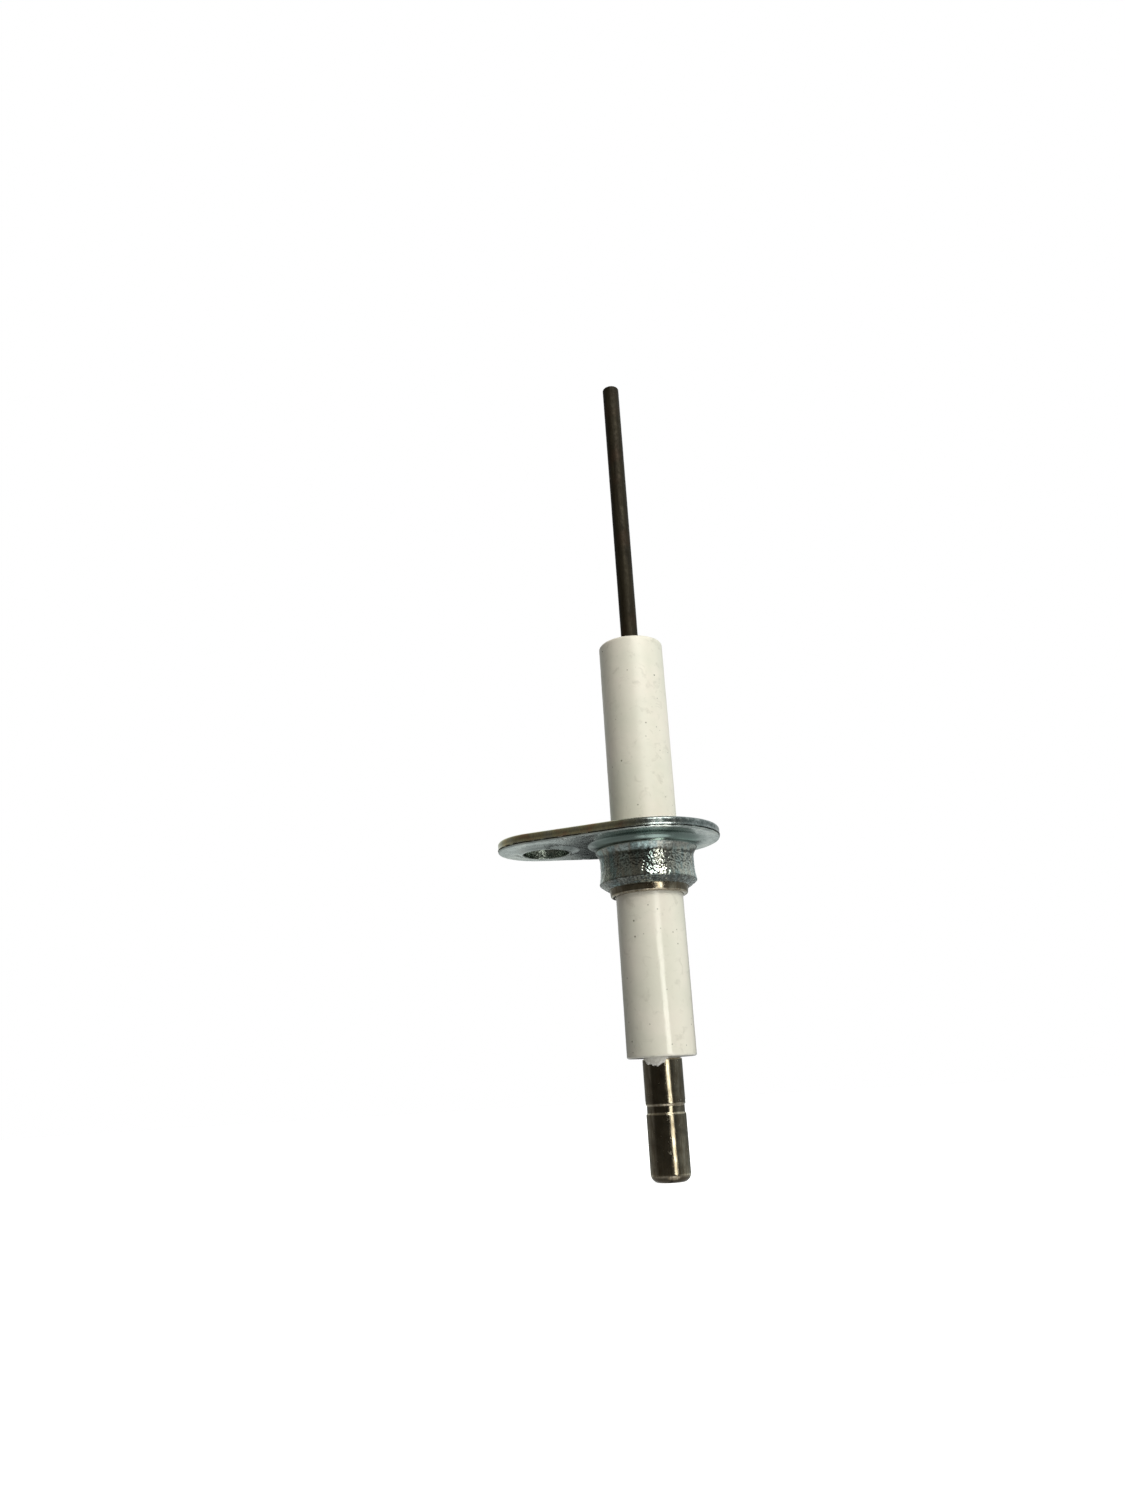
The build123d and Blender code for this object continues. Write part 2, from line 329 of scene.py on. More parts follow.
def ceramic_material():
    """Cream-white fired ceramic: faint blotches and smudges, dark specks, glossier and painted
    lighter lower down.
    """
    cool, cream, warm = (0.74, 0.735, 0.64), (0.80, 0.775, 0.685), (0.83, 0.78, 0.70)
    veil, veil_most = (0.70, 0.69, 0.60), 0.28
    grime, grime_most = (0.42, 0.41, 0.33), 0.34
    # The pale tint is painted light, lightening the tube towards its bottom.
    pale, painted_light_most, painted_light_from, painted_light_to = (0.93, 0.91, 0.82), 0.2, -6.0, -12.0
    speck, faint_speck = (0.20, 0.19, 0.14), 0.7
    gloss_z, gloss, dull_z, dull = -16.0, 0.07, 4.0, 0.40
    s = Shade("ceramic")
    body = s.ramp(s.noise(0.22, 2.0), [(0.35, cool), (0.52, cream), (0.68, warm)])
    body = s.mix(s.span(s.noise(1.3, 4.0), 0.3, 0.75, 0.0, veil_most), body, veil)
    smudge = s.span(s.noise(0.9, 5.0, 0.6, warp=0.6), 0.56, 0.70, 0.0, grime_most)
    body = s.mix(smudge, body, grime)
    # Painted light: the tube turns paler towards its bottom, standing in for brighter light falling
    # there.
    body = s.mix(s.span(s.z, painted_light_from, painted_light_to, 0.0, painted_light_most), body, pale)

    def specks(scale, share, size):
        """Round dots in a share of the cells, with about scale cells to a mm."""
        cells = s.node("ShaderNodeTexVoronoi", {"Vector": s.place, "Scale": scale}).outputs
        pick = s.node("ShaderNodeSeparateColor", {0: cells["Color"]}).outputs[0]
        chosen = s.maths("GREATER_THAN", pick, 1 - share)
        return s.maths("MULTIPLY", s.span(cells["Distance"], size, 0.5 * size), chosen)

    small = s.maths("MULTIPLY", specks(1.5, 0.16, 0.14), faint_speck)
    s.set(Base_Color=s.mix(s.maths("MAXIMUM", specks(0.75, 0.34, 0.09), small), body, speck))
    rough = s.span(s.z, gloss_z, dull_z, gloss, dull)
    s.set(Roughness=s.maths("ADD", rough, s.span(s.noise(2.5), 0.3, 0.7, -0.02, 0.06)), IOR=1.7)
    s.set(Normal=s.bump(s.noise(3.0, 4.0), 0.0035, s.bump(s.noise(0.8, 1.0), 0.02)))
    return s.material


def zinc_material():
    """Bright zinc plate: mottled faces and hub, olive and blue rim, torn edge, dull hole."""
    s = Shade("zinc_plate")

    def zone(mark):
        """1 where the vertices carry this mark, and 0 where they carry another."""
        return s.span(s.maths("ABSOLUTE", s.maths("SUBTRACT", s.mark, mark)), 0.5, 0.35)

    # Faces: mottled and brushed; on the underside, painted shade round the hub and a painted shadow
    # towards the hole.
    dull, plain, bright = (0.42, 0.48, 0.46), (0.56, 0.63, 0.60), (0.70, 0.74, 0.68)
    brushed, brushed_most = (0.34, 0.38, 0.37), 0.5
    # Neck tint: painted shade on the underside round the hub.
    neck_shade_tint, neck_shade_most, neck_r = (0.17, 0.24, 0.215), 0.85, 6.2
    # Patch tint: a painted shadow on the underside between the hub and the hole.
    shadow_patch_tint, shadow_patch_most, shadow_patch_r = (0.06, 0.09, 0.085), 0.75, 8.5
    face = s.ramp(s.noise(0.55, 4.0, 0.6), [(0.32, dull), (0.5, plain), (0.68, bright)])
    strokes = s.noise(5.0, 4.0, 0.65, s.stretched(1.0, 0.35, 1.0))
    face = s.mix(s.span(strokes, 0.35, 0.75, 0.0, brushed_most), face, brushed)
    flattened = {0: s.stretched(1.0, 1.0, 0.0)}
    radius = s.node("ShaderNodeVectorMath", flattened, operation="LENGTH").outputs["Value"]
    ragged = s.maths("ADD", radius, s.span(s.noise(0.8), 0.3, 0.7))
    # Painted shadow: the underside darkens between the hub and the hole.
    shadow_corner = s.maths("MULTIPLY", s.span(s.y, -4.2, -2.2), s.span(s.x, -3.0, -5.0))
    shadow_patch = s.maths("MULTIPLY", shadow_corner, s.span(ragged, shadow_patch_r + 1.4, shadow_patch_r))
    under = s.span(s.z, -0.8, -1.1)
    # Painted shade: the underside darkens round the hub's fillet.
    neck_shade = s.maths("MULTIPLY", s.span(radius, neck_r + 0.5, neck_r), under)
    face = s.mix(s.maths("MULTIPLY", neck_shade, neck_shade_most), face, neck_shade_tint)
    shadow_patch = s.maths("MULTIPLY", s.maths("MULTIPLY", shadow_patch, under), shadow_patch_most)
    face = s.mix(shadow_patch, face, shadow_patch_tint)

    # Hub wall: uneven blue-green and grey with dark pits, and a gritty lip.
    teal, slate = (0.36, 0.50, 0.49), (0.30, 0.36, 0.35)
    khaki, mist = (0.43, 0.43, 0.38), (0.48, 0.57, 0.55)
    pit, pit_most, grit_tint = (0.10, 0.13, 0.12), 0.7, (0.10, 0.11, 0.10)
    mottle = s.noise(0.55, 3.0, 0.6, s.stretched(1.0, 1.0, 0.25))
    wall = s.ramp(mottle, [(0.34, teal), (0.46, slate), (0.55, khaki), (0.66, mist)])
    wall = s.mix(s.span(s.noise(5.0, 3.0, 0.6), 0.46, 0.66, 0.0, pit_most), wall, pit)
    grit = s.span(s.noise(4.5, 3.0, 0.6), 0.38, 0.6, 0.15, 0.9)
    grit = s.maths("MULTIPLY", grit, s.span(s.z, HUB_LIP_Z + 0.25, HUB_LIP_Z))
    wall = s.mix(grit, wall, grit_tint)
    face = s.mix(zone(WALL), face, wall)

    # Rim: passivated olive on the lobe, blue-grey round the hub.
    straw, olive, copper = (0.58, 0.58, 0.48), (0.66, 0.64, 0.40), (0.62, 0.44, 0.28)
    olive_dark, olive_most = (0.36, 0.35, 0.27), 0.6
    ink, blue, steel = (0.10, 0.13, 0.13), (0.23, 0.26, 0.26), (0.40, 0.44, 0.44)
    lobe = s.ramp(s.noise(0.5, 3.0, 0.6), [(0.36, straw), (0.5, olive), (0.62, copper)])
    strokes = s.noise(7.0, 3.0, 0.6, s.stretched(1.0, 1.0, 0.3))
    lobe = s.mix(s.span(strokes, 0.4, 0.7, 0.0, olive_most), lobe, olive_dark)
    round_hub = s.ramp(s.noise(3.0, 4.0, 0.65), [(0.35, ink), (0.55, blue), (0.7, steel)])
    face = s.mix(zone(RIM), face, s.mix(s.span(s.x, 1.0, -4.0), round_hub, lobe))

    # The hole's wall and the torn edge, whose near-black is partly its own fracture and partly
    # painted shadow from its groove.
    hole_dark, hole_light, torn = (0.13, 0.16, 0.14), (0.45, 0.50, 0.45), (0.03, 0.028, 0.022)
    pierced = s.ramp(s.noise(6.0, 3.0), [(0.4, hole_dark), (0.7, hole_light)])
    face = s.mix(zone(HOLE), face, pierced)
    face = s.mix(zone(TORN), face, torn)
    s.set(Base_Color=face, Metallic=1.0)

    torn_rough, waist_rough, neck_rough = 0.5, 0.11, 0.25
    shine = s.span(s.noise(2.0, 4.0, 0.6), 0.3, 0.75, 0.15, 0.32)
    hub = s.span(s.z, HUB_WAIST_TOP + 0.2, HUB_WAIST_TOP + 0.9, waist_rough, neck_rough)
    s.set(Roughness=s.mix(zone(WALL), s.mix(zone(TORN), shine, torn_rough), hub))
    s.set(Normal=s.bump(s.noise(16.0, 3.0, 0.6), 0.0022, s.bump(s.noise(0.9, 2.0), 0.008)))
    return s.material


def nickel_material(name, tint, rough, streak):
    """Nickel worn brown: streaks drawn out along the axis, a few scuffs, and painted shade
    darkening the nose.
    """
    worn_share = 0.55
    brown, brown_most = (0.22, 0.165, 0.095), 0.85
    # Painted shade for the pin's nose.
    nose_shade, nose_shade_most = (0.08, 0.065, 0.04), 0.8
    bare, bare_most, bare_rough = (0.62, 0.60, 0.52), 0.5, 0.2
    s = Shade(name)
    lengthwise = s.noise(streak, 4.0, 0.6, s.stretched(1.0, 1.0, 0.14))
    worn = tuple(worn_share * c for c in tint)
    metal = s.mix(s.span(s.noise(0.9, 4.0, 0.6), 0.38, 0.7), tint, worn)
    metal = s.mix(s.span(lengthwise, 0.4, 0.7, 0.0, brown_most), metal, brown)
    # Painted shade darkens the pin's nose.
    nose = s.span(s.z, TERMINAL_END + 0.75, TERMINAL_END + 0.45, 0.0, nose_shade_most)
    metal = s.mix(nose, metal, nose_shade)
    scuff = s.noise(3.2, 5.0, 0.7, s.stretched(1.0, 1.0, 0.5), warp=1.2)
    scuff = s.span(scuff, 0.64, 0.70)
    s.set(Base_Color=s.mix(s.maths("MULTIPLY", scuff, bare_most), metal, bare), Metallic=1.0)
    drawn = s.span(lengthwise, 0.35, 0.75, rough, rough + 0.10)
    s.set(Roughness=s.maths("ADD", drawn, s.maths("MULTIPLY", scuff, bare_rough)))
    s.set(Normal=s.bump(s.noise(9.0, 4.0, 0.6), 0.0016, s.bump(lengthwise, 0.006)))
    return s.material


def rod_material():
    """Heat-resisting wire, oxidised dark, with faint rust and drawing streaks."""
    black, dark, brown = (0.012, 0.009, 0.004), (0.023, 0.018, 0.009), (0.040, 0.034, 0.020)
    rust, rust_most = (0.036, 0.019, 0.010), 0.6
    s = Shade("oxidised_rod")
    lengthwise = s.noise(3.0, 4.0, 0.6, s.stretched(1.0, 1.0, 0.1))
    oxide = s.ramp(lengthwise, [(0.3, black), (0.55, dark), (0.8, brown)])
    rusty = s.maths("MULTIPLY", s.span(s.noise(0.35, 3.0), 0.52, 0.7), rust_most)
    s.set(Base_Color=s.mix(rusty, oxide, rust), Metallic=0.5)
    s.set(Roughness=s.span(s.noise(2.0, 3.0), 0.3, 0.7, 0.5, 0.72), IOR=1.35)
    s.set(Normal=s.bump(lengthwise, 0.008))
    return s.material


def cement_material():
    """Set refractory cement: pale grey, matt and granular."""
    grey, pale, white = (0.74, 0.72, 0.66), (0.88, 0.87, 0.82), (0.94, 0.93, 0.89)
    s = Shade("cement")
    grain = s.noise(6.0, 5.0, 0.65)
    s.set(Base_Color=s.ramp(grain, [(0.3, grey), (0.5, pale), (0.7, white)]))
    s.set(Roughness=s.span(grain, 0.3, 0.7, 0.45, 0.8), Normal=s.bump(grain, 0.02))
    return s.material


NICKEL_TINT = (0.56, 0.51, 0.40)
CERAMIC = ceramic_material()
ZINC = zinc_material()
ROD = rod_material()
SLEEVE = nickel_material("nickel_sleeve", NICKEL_TINT, rough=0.14, streak=4.0)
TERMINAL = nickel_material("nickel_terminal", NICKEL_TINT, rough=0.12, streak=5.0)
CEMENT = cement_material()


# ---------------------------------------------------------------- spark rod

def spark_rod():
    """A straight wire with a cropped, slightly rounded tip."""
    edge, flat_r, dish = 0.2, 0.5, 0.02
    outline = [(0.0, ROD_ROOT), (ROD_R, ROD_ROOT)]
    outline += arc((ROD_R - edge, ROD_TIP - edge), edge, 0, 90)
    outline += [(flat_r, ROD_TIP), (0.0, ROD_TIP - dish)]

    def relief(r, z, a):
        x, y = math.cos(a), math.sin(a)
        return 0.006 * ripple(x, y, z / 12, 0.25) + 0.006 * ripple(x, y, z, 0.9, 5)

    turned_piece("spark_rod", "electrode_rod", ROD,
                 refine(outline, 0.25), 72, relief, closed=False)


# ---------------------------------------------------------------- ceramic

def insulator():
    """The ceramic tube, with its waist, rounded ends, rod bore and sockets."""
    lower_edge, upper_edge = 0.2, 0.35
    floor_z = CERAMIC_BOTTOM + SHANK_SOCKET_DEPTH
    ledge_z = CERAMIC_TOP - ROD_SOCKET_DEPTH
    outline = [(SHANK_SOCKET_R, CERAMIC_BOTTOM)]
    outline += arc((CERAMIC_R - lower_edge, CERAMIC_BOTTOM + lower_edge), lower_edge, -90, 0)
    outline += [
        (CERAMIC_R, WAIST_BOTTOM),
        (CERAMIC_R - WAIST_DEPTH, WAIST_BOTTOM + WAIST_DEPTH),
        (CERAMIC_R - WAIST_DEPTH, WAIST_TOP - WAIST_DEPTH),
        (CERAMIC_R, WAIST_TOP),
    ]
    outline += arc((CERAMIC_R - upper_edge, CERAMIC_TOP - upper_edge), upper_edge, 0, 90)
    outline += [
        (ROD_SOCKET_R, CERAMIC_TOP),
        (ROD_SOCKET_R, ledge_z),
        (ROD_BORE_R, ledge_z),
        (ROD_BORE_R, floor_z),
        (SHANK_SOCKET_R, floor_z),
    ]

    def relief(r, z, a):
        if r < CERAMIC_R - 0.4:
            return 0.0
        x, y = r * math.cos(a), r * math.sin(a)
        return 0.010 * ripple(x, y, z, 3.0) + 0.003 * ripple(x, y, z, 0.5, 9)

    turned_piece("insulator_tube", "ceramic_insulator", CERAMIC,
                 closed_profile(outline, 0.16), 160, relief)


# ---------------------------------------------------------------- flange

def outline_stations(spacing):
    """Round the teardrop plate: each column's centre on the x axis, its radius and its bearing."""
    lean = math.acos((PLATE_R - LOBE_R) / -HOLE_X)
    swing = math.pi - lean
    flank = math.hypot(HOLE_X, PLATE_R - LOBE_R)
    round_count = round(2 * swing * PLATE_R / spacing)
    flank_count = round(flank / spacing)
    lobe_count = round(2 * lean * LOBE_R / spacing)

    def on_flank(t, bearing):
        return t * HOLE_X, PLATE_R + t * (LOBE_R - PLATE_R), bearing

    stations = [(0.0, PLATE_R, -swing + 2 * swing * i / round_count) for i in range(round_count)]
    stations += [on_flank(i / flank_count, swing) for i in range(flank_count)]
    stations += [(HOLE_X, LOBE_R, swing + 2 * lean * i / lobe_count) for i in range(lobe_count)]
    stations += [on_flank(1 - i / flank_count, -swing) for i in range(flank_count)]
    return stations


def rim_rows(build):
    """The plate's edge: rolled above, a smooth barrel, then a torn groove and a rolled burr."""
    roll, roll_back = 0.3, 0.03
    torn_z = -PLATE_T + 0.22
    burr, burr_inset = 0.19, 0.225
    groove_half, groove_depth = 0.032, 0.13
    rolled = [(roll - r, z - roll) for r, z in arc((0, 0), roll, 90, 0, 0.05)]

    # The section runs down the edge, as (inset from the outline, z).
    section = [(0.95, 0.0), (0.6, 0.0), rolled[0]]
    section += [(inset + roll_back, z) for inset, z in rolled[1:]]
    section += [(0.032, -0.45), (0.036, -0.6), (0.036, -0.66)]
    section += [(0.020, -0.74), (0.004, -0.81), (0.0, -0.85)]
    section += [(0.012, torn_z + 0.05), (0.05, torn_z + 0.03)]
    section += [(0.05, torn_z - 0.02), (0.03, torn_z - 0.035)]
    section += arc((burr_inset, -PLATE_T + burr), burr, 172, 270, 0.03)
    section += [(0.5, -PLATE_T), (0.8, -PLATE_T)]
    stations = outline_stations(0.1)
    rows = []
    for inset, z in section:
        side = 1.0 - smooth(0.14, 0.3, inset)
        torn = side * smooth(0.08, 0.05, abs(z - torn_z))
        groove = groove_depth if abs(z - torn_z) < groove_half else 0.0
        zone = RIM * side if z > torn_z - 0.03 else FLAT
        low = side * smooth(torn_z + 0.2, torn_z, z)
        row = []
        for centre, radius, a in stations:
            x, y = centre + radius * math.cos(a), radius * math.sin(a)
            notch = max(0.0, ripple(x, y, 0, 0.55, 11) - 0.12)
            shown = 0.4 + 0.6 * smooth(-0.4, 0.1, ripple(x, y, 0, 0.9, 21))
            wobble = side * (0.008 * ripple(x, y, z / 3, 0.4) + 0.012 * ripple(x, y, 0, 1.6, 3))
            wobble += low * 0.012 * ripple(x, y, z, 0.8, 7) + torn * 0.12 * notch
            reach = radius - inset - max(0.0, wobble) - groove * shown
            lift = low * (0.02 * ripple(x, y, 0, 0.7, 13) + 0.08 * notch)
            point = (centre + reach * math.cos(a), reach * math.sin(a), z + lift)
            row.append(build.add(point, zone + (TORN - RIM) * torn * shown))
        rows.append(row)
    return rows


def tangent_arc(waist_z, r, z, step):
    """The hub's curve from its upright waist out to (r, z), as points that start at the waist."""
    out, along = r - HUB_WAIST_R, z - waist_z
    radius = (out * out + along * along) / (2 * out)
    turn = math.degrees(math.asin(along / radius))
    return arc((HUB_WAIST_R + radius, waist_z), radius, 180, 180 - turn, step)


def hub_rows(build):
    """The drawn hub from the plate's underside, round its crimped lip and up the bore."""
    step, lip_edge, columns = 0.07, 0.11, 460
    neck_r, neck_z = HUB_SHOULDER_R + HUB_FILLET, -PLATE_T - HUB_FILLET
    wall = [(neck_r + 0.5, -PLATE_T), (neck_r + 0.2, -PLATE_T)]
    wall += arc((neck_r, neck_z), HUB_FILLET, 90, 180)
    wall += tangent_arc(HUB_WAIST_TOP, HUB_SHOULDER_R, neck_z, step)[::-1][1:]
    wall += tangent_arc(HUB_WAIST_BOTTOM, HUB_LIP_R, HUB_LIP_Z + 0.1, step)
    wall += arc((HUB_LIP_R - lip_edge, HUB_LIP_Z + 0.04), lip_edge, 10, -55, 0.04)
    wall += [(HUB_END_R + 0.12, HUB_END + 0.05), (HUB_END_R, HUB_END + 0.005)]
    wall += [(SLEEVE_R, HUB_END + 0.03)]
    bore = [(SLEEVE_R, HUB_END + 0.3), (SLEEVE_R, -HUB_MOUTH)]
    bore += arc((SLEEVE_R + HUB_MOUTH, -HUB_MOUTH), HUB_MOUTH, 180, 90)[1:]
    bore += [(SLEEVE_R + HUB_MOUTH + 0.15, 0.0), (SLEEVE_R + HUB_MOUTH + 0.4, 0.0)]

    def hammered(r, z, a):
        """Dents that deepen below the waist's top, and a torn lip; the bore stays plain."""
        if r < SLEEVE_R + 0.02 or z > -PLATE_T:
            return 0.0
        x, y = r * math.cos(a), r * math.sin(a)
        hub = smooth(neck_z + 0.1, neck_z - 0.25, z)
        deep = smooth(HUB_WAIST_TOP + 0.5, HUB_WAIST_TOP - 0.1, z)
        lip = smooth(HUB_LIP_Z + 0.3, HUB_LIP_Z + 0.05, z)
        dents = 0.018 * ripple(x, y, z / 1.4, 0.34)
        dents += (0.007 + 0.036 * deep) * ripple(x, y, z, 0.17, 4)
        torn = 0.036 * ripple(x, y, z, 0.26, 8) + 0.024 * ripple(x, y, z, 0.13, 2)
        slow = 0.004 * ripple(x, y, z, 1.2, 6) * smooth(-1.2, -1.6, z)
        return hub * dents * (1 - lip) + lip * torn + slow

    def mark(r, z, a):
        return WALL if z < neck_z else FLAT

    return build.turn(refine(wall, step) + refine(bore, 0.4), columns, hammered, mark)


def hole_rows(build):
    """The pierced screw hole, torn inside; its low collar slopes out to the plate's underside."""
    low = -PLATE_T - COLLAR_HEIGHT
    edge, columns = 0.1, 220
    inside_r = HOLE_R + 0.05
    wall = [(COLLAR_R + 0.95, -PLATE_T), (COLLAR_R + 0.8, -PLATE_T)]
    wall += [(COLLAR_R + 0.6, -PLATE_T - 0.03), (COLLAR_R + 0.3, -PLATE_T - 0.11)]
    wall += [(COLLAR_R + 0.08, low + 0.07), (COLLAR_R - 0.08, low + 0.01)]
    wall += arc((HOLE_R + edge, low + edge), edge, -90, -180, 0.04)
    wall += [(HOLE_R, -0.1), (HOLE_R + 0.03, -0.03), (HOLE_R + 0.1, 0.0), (HOLE_R + 0.3, 0.0)]

    def pierced(r, z, a):
        """Teeth that stand out of the metal, strong in the hole and slight on the collar."""
        if abs(z) < TINY or (r > COLLAR_R + 0.7 and z > -PLATE_T - TINY):
            return 0.0
        x, y = r * math.cos(a), r * math.sin(a)
        share = 1.0 if r < inside_r else 0.15
        return share * -abs(0.05 * ripple(x, y, z / 1.5, 0.24, 12)) + 0.006 * ripple(x, y, z, 0.4)

    def mark(r, z, a):
        return HOLE if r < inside_r else FLAT

    return build.turn(refine(wall, 0.08), columns, pierced, mark, (HOLE_X, 0.0))


def flange():
    """One pressing: the plate with its rim, the screw hole and the drawn hub."""
    build = Build()
    rim, hub, hole = rim_rows(build), hub_rows(build), hole_rows(build)
    for rows in (rim, hub, hole):
        build.band(rows)
    fill_flat(build, rim[0], [hub[-1], hole[-1]], 0.0)
    fill_flat(build, rim[-1], [hub[0], hole[0]], -PLATE_T)
    build.piece("flange_pressing", "mounting_flange", ZINC)


def fill_flat(build, rim, holes, z):
    """Triangles over a flat face, inside its rim and outside its holes, on an even grid."""
    loops = [rim, *holes]
    flat = [i for loop in loops for i in loop]
    coords = [Vector(build.points[i][:2]) for i in flat]
    edges, start = [], 0
    for loop in loops:
        edges += [(start + i, start + (i + 1) % len(loop)) for i in range(len(loop))]
        start += len(loop)

    def inside(p, loop):
        """True where a point lies within a loop, by counting crossings."""
        found = False
        for i, j in zip(loop, loop[1:] + loop[:1]):
            a, b = build.points[i], build.points[j]
            if (a[1] > p[1]) != (b[1] > p[1]):
                if p[0] < (b[0] - a[0]) * (p[1] - a[1]) / (b[1] - a[1]) + a[0]:
                    found = not found
        return found

    pitch, row_share, margin = 0.45, 0.866, 0.2
    coarse = [loop[::4] for loop in loops]
    near_points = [Vector(build.points[k][:2]) for loop in coarse for k in loop]
    half_rows = math.ceil(PLATE_R / (pitch * row_share))
    for i in range(-math.ceil(LOBE_END / pitch) - 1, math.ceil(PLATE_R / pitch) + 1):
        for j in range(-half_rows, half_rows + 1):
            p = Vector(((i + 0.5 * (j % 2)) * pitch, j * pitch * row_share))
            if not inside(p, coarse[0]) or any(inside(p, hole) for hole in coarse[1:]):
                continue
            if all((near - p).length >= margin for near in near_points):
                coords.append(p)
                flat.append(build.add((p.x, p.y, z)))
    merge = 1e-7
    verts, _, faces, origins, _, _ = geometry.delaunay_2d_cdt(coords, edges, [], 0, merge)
    source = [flat[o[0]] for o in origins]
    for face in faces:
        middle = sum((verts[k] for k in face), Vector((0, 0))) / len(face)
        if inside(middle, rim) and not any(inside(middle, hole) for hole in holes):
            build.faces.append(tuple(source[k] for k in face))


# ---------------------------------------------------------------- sleeve and seals

def sleeve():
    """The bright bush: its lower lip is turned in against the ceramic."""
    lip, low = SLEEVE_BOTTOM + SLEEVE_LIP, SLEEVE_BOTTOM + 0.13
    turn_in, edge = 0.22, 0.05
    inner = SLEEVE_R - SLEEVE_WALL
    outline = [(CERAMIC_R, low)]
    outline += arc((SLEEVE_R - 0.30, low + turn_in), turn_in, -90, 0, 0.04)
    outline += [
        (SLEEVE_R - 0.055, low + 0.38),
        (SLEEVE_R - 0.03, low + 0.55),
        (SLEEVE_R, HUB_END - 0.02),
        (SLEEVE_R, SLEEVE_TOP - edge),
        (SLEEVE_R - edge, SLEEVE_TOP),
        (inner + edge, SLEEVE_TOP),
        (inner, SLEEVE_TOP - edge),
        (inner, lip),
        (CERAMIC_R, lip),
    ]

    def relief(r, z, a):
        if HUB_END + 0.1 < z < SLEEVE_TOP - 0.06 or r <= CERAMIC_R + 0.02:
            return 0.0
        return 0.008 * ripple(r * math.cos(a), r * math.sin(a), z, 0.9)

    turned_piece("sleeve_bush", "clamping_sleeve", SLEEVE,
                 closed_profile(outline, 0.12), 300, relief)


def bedding():
    """Cement between the sleeve and the waist, its top a little sunk and rough."""
    lip = SLEEVE_BOTTOM + SLEEVE_LIP
    inner, outer = CERAMIC_R - WAIST_DEPTH, SLEEVE_R - SLEEVE_WALL
    outline = [
        (CERAMIC_R, lip),
        (outer, lip),
        (outer, SLEEVE_TOP - 0.05),
        ((outer + CERAMIC_R) / 2, SLEEVE_TOP - 0.02),
        (inner + 0.03, SLEEVE_TOP - 0.04),
        (inner, WAIST_TOP - WAIST_DEPTH - 0.02),
        (inner, WAIST_BOTTOM + WAIST_DEPTH),
        (CERAMIC_R, WAIST_BOTTOM),
    ]

    def relief(r, z, a):
        if z <= SLEEVE_TOP - 0.045:
            return 0.0
        return 0.02 * ripple(r * math.cos(a), r * math.sin(a), z, 0.25)

    turned_piece("bedding_cement", "sleeve_bedding", CEMENT,
                 closed_profile(outline, 0.12), 240, relief)


def rod_cement():
    """The seal in the ceramic's upper socket, with a rough meniscus up the rod."""
    outline = [
        (ROD_R, CERAMIC_TOP - ROD_SOCKET_DEPTH),
        (ROD_SOCKET_R, CERAMIC_TOP - ROD_SOCKET_DEPTH),
        (ROD_SOCKET_R, CERAMIC_TOP - 0.03),
        (ROD_R + 0.34, CERAMIC_TOP + 0.01),
        (ROD_R + 0.13, CERAMIC_TOP + 0.09),
        (ROD_R + 0.03, CERAMIC_TOP + 0.24),
        (ROD_R - 0.02, CERAMIC_TOP + 0.27),
    ]

    def relief(r, z, a):
        if z <= CERAMIC_TOP - 0.02:
            return 0.0
        return 0.04 * ripple(r * math.cos(a), r * math.sin(a), z, 0.35)

    turned_piece("rod_cement", "rod_seal", CEMENT,
                 closed_profile(outline, 0.07), 120, relief)


def terminal_cement():
    """The seal round the shank, and the smear that ran out over the pin's shoulder."""
    floor_z = CERAMIC_BOTTOM + SHANK_SOCKET_DEPTH
    outline = [
        (SHANK_R, SHOULDER_Z),
        (SHANK_SOCKET_R + 0.05, SHOULDER_Z),
        (SHANK_SOCKET_R + 0.07, CERAMIC_BOTTOM - 0.02),
        (SHANK_SOCKET_R, CERAMIC_BOTTOM),
        (SHANK_SOCKET_R, floor_z),
        (ROD_R, floor_z),
        (ROD_R, SHANK_TOP),
        (SHANK_R, SHANK_TOP),
    ]
    build = Build()
    build.skin(build.turn(closed_profile(outline, 0.3), 120, closed=True), closed=True)
    smear(build)
    build.piece("terminal_cement", "terminal_seal", CEMENT)


